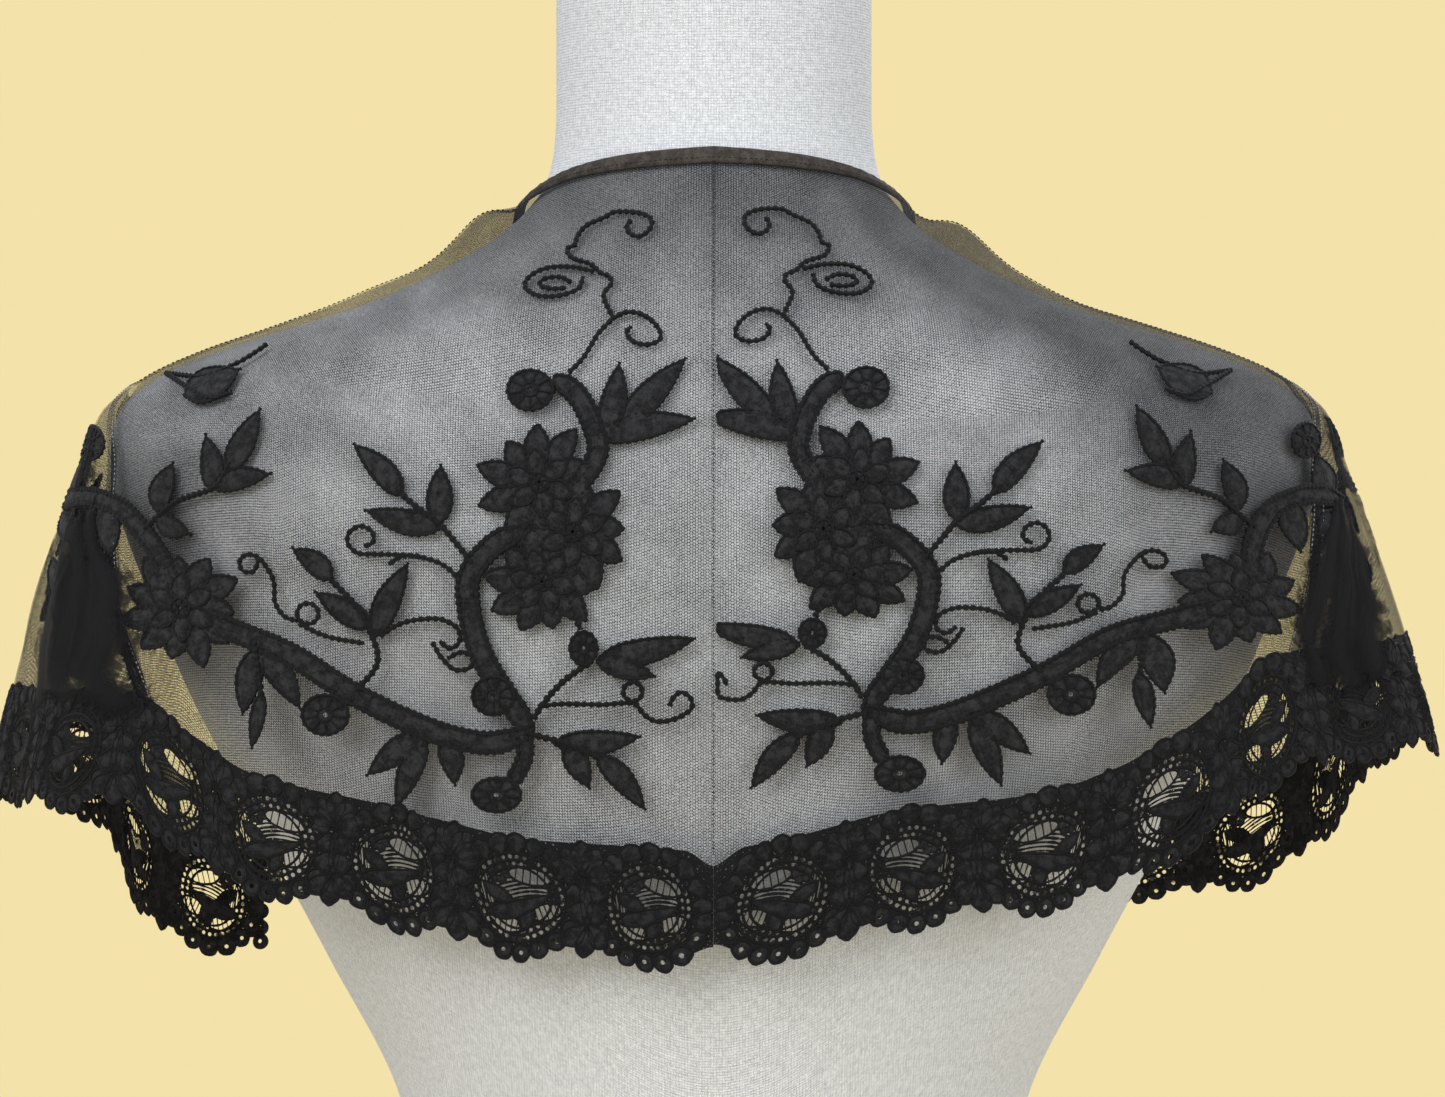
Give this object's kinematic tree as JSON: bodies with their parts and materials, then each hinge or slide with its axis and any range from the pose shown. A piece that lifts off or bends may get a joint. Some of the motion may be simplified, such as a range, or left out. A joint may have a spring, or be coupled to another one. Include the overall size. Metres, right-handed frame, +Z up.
{
  "type": "lace collar on a dress form",
  "caption": "Short sheer net shoulder cape with flower and vine applique and a scalloped lace edge, open in front, on a limbless dress form with a flat base.",
  "frame": {"origin": "middle of the dress form's flat underside", "axes": "+Z up, +Y towards the wearer's front, +X towards the wearer's right"},
  "size_m": [0.4752, 0.2436, 0.57],
  "materials": {
    "form_cloth": "matte coarse linen weave",
    "net": "sheer fine silk net",
    "binding": "matte turned band",
    "lace": "matte cotton lace",
    "applique": "matte corded applique"
  },
  "bodies": {
    "root": {"dress_form": "form_cloth", "back_left": "net", "back_right": "net", "sleeve_left": "net", "sleeve_right": "net", "front_left": "net", "front_right": "net", "neck_binding": "binding", "lace_left": "lace", "lace_right": "lace", "applique_left": "applique", "applique_right": "applique"}
  },
  "joints": []
}
